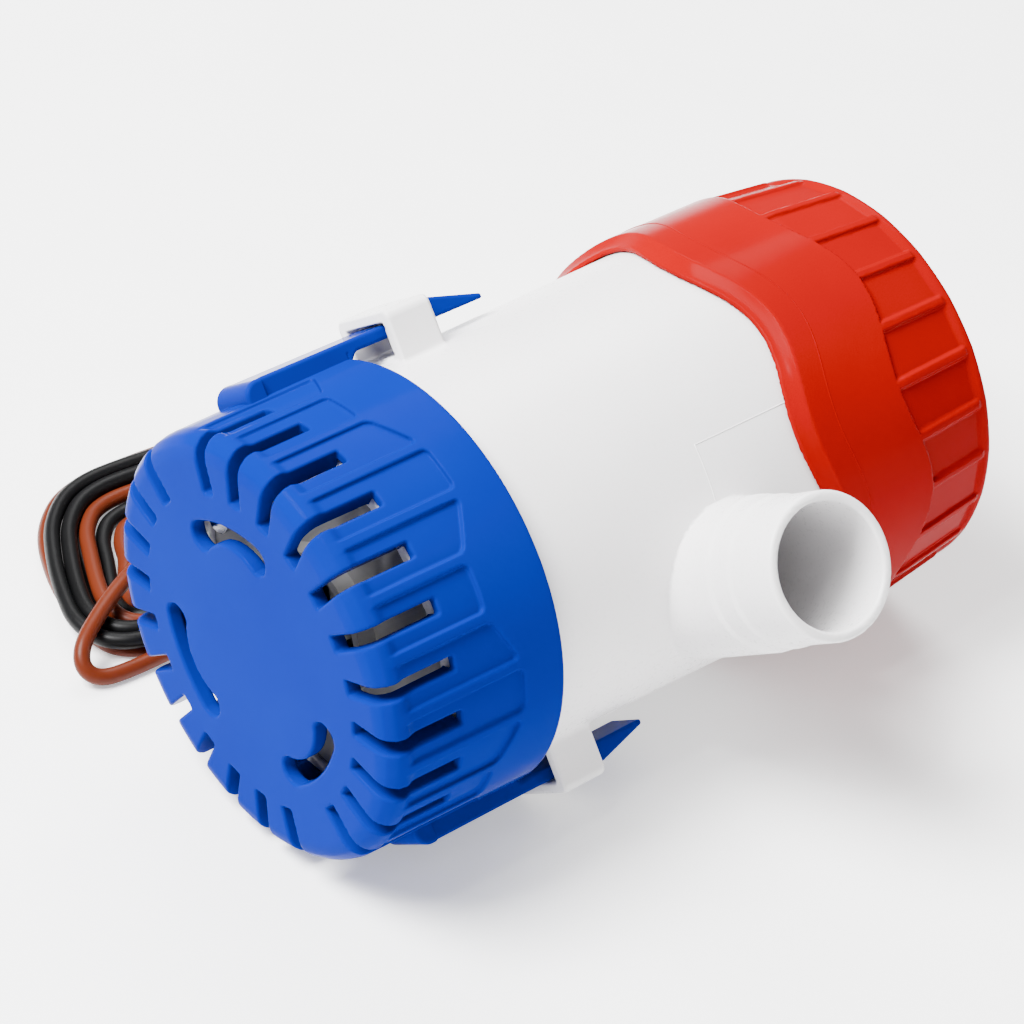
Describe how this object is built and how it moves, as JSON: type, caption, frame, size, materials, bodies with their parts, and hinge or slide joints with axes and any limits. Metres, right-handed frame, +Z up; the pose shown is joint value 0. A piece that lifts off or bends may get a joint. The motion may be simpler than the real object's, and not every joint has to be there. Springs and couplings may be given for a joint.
{
  "type": "bilge pump",
  "caption": "Submersible cartridge bilge pump with slotted snap-off strainer, tangential hose nozzle, ribbed cap and two wire leads.",
  "frame": {"origin": "Bottom centre of the pump's box without its free leads, lying on its side on a level surface.", "axes": "+X along the pump's axis from the strainer's foot to the cap, +Z up, the nozzle slanting up towards -Y."},
  "size_m": [0.1352, 0.1237, 0.0612],
  "materials": {
    "blue_plastic": "glossy moulded",
    "white_plastic": "glossy moulded",
    "red_plastic": "glossy moulded",
    "grey_plastic": "satin moulded",
    "black_plastic": "satin moulded",
    "seal_rubber": "smooth",
    "grommet_rubber": "smooth",
    "zinc_steel": "zinc plated",
    "stainless_steel": "bright",
    "lamination_steel": "stacked laminations",
    "ferrite": "sintered",
    "sintered_bronze": "oiled",
    "copper": "enamelled wire",
    "tinned_copper": "tinned",
    "carbon": "carbon",
    "brown_lead": "smooth insulation",
    "black_lead": "smooth insulation"
  },
  "bodies": {
    "housing": {"pump_housing": "white_plastic", "intake_plate": "grey_plastic", "intake_plate_screws": "stainless_steel", "top_cap": "red_plastic", "lead_grommet": "grommet_rubber", "motor_canister": "black_plastic", "canister_o_ring": "seal_rubber", "shaft_seal": "seal_rubber", "motor_can": "zinc_steel", "motor_end_frame": "zinc_steel", "motor_rear_bell": "black_plastic", "lower_bushing": "sintered_bronze", "upper_bushing": "sintered_bronze", "north_magnet": "ferrite", "south_magnet": "ferrite", "positive_brush": "carbon", "negative_brush": "carbon", "positive_brush_arm": "copper", "negative_brush_arm": "copper", "positive_terminal": "tinned_copper", "negative_terminal": "tinned_copper", "inner_lead_black": "black_lead", "inner_lead_brown": "brown_lead", "lead_black": "black_lead", "lead_brown": "brown_lead", "lead_hank": "black_lead", "lead_tie": "black_plastic", "bare_end_black": "tinned_copper", "bare_end_brown": "tinned_copper"},
    "strainer": {"strainer_basket": "blue_plastic"},
    "latch_lower": {"latch_arm_lower": "blue_plastic"},
    "latch_upper": {"latch_arm_upper": "blue_plastic"},
    "rotor": {"motor_shaft": "stainless_steel", "armature_core": "lamination_steel", "armature_windings": "copper", "commutator": "copper", "impeller": "grey_plastic"}
  },
  "joints": [
    {"name": "strainer_slide", "type": "slide", "parent": "housing", "child": "strainer", "axis": [-1, 0, 0], "range_m": [0, 0.045], "deforming": ["latch_arm_lower", "latch_arm_upper"]},
    {"name": "latch_lower_press", "type": "hinge", "parent": "strainer", "child": "latch_lower", "pos_m": [-0.0278, -0.00855, 0.00571], "axis": [0, -0.7977, 0.6031], "range_deg": [0, 6], "stiffness_Nm_per_rad": 0.5},
    {"name": "latch_upper_press", "type": "hinge", "parent": "strainer", "child": "latch_upper", "pos_m": [-0.0278, 0.02908, 0.05549], "axis": [0, 0.7977, -0.6031], "range_deg": [0, 6], "stiffness_Nm_per_rad": 0.5},
    {"name": "rotor_spin", "type": "hinge", "parent": "housing", "child": "rotor", "pos_m": [0.0005, 0.01027, 0.0306], "axis": [1, 0, 0], "continuous": true}
  ]
}
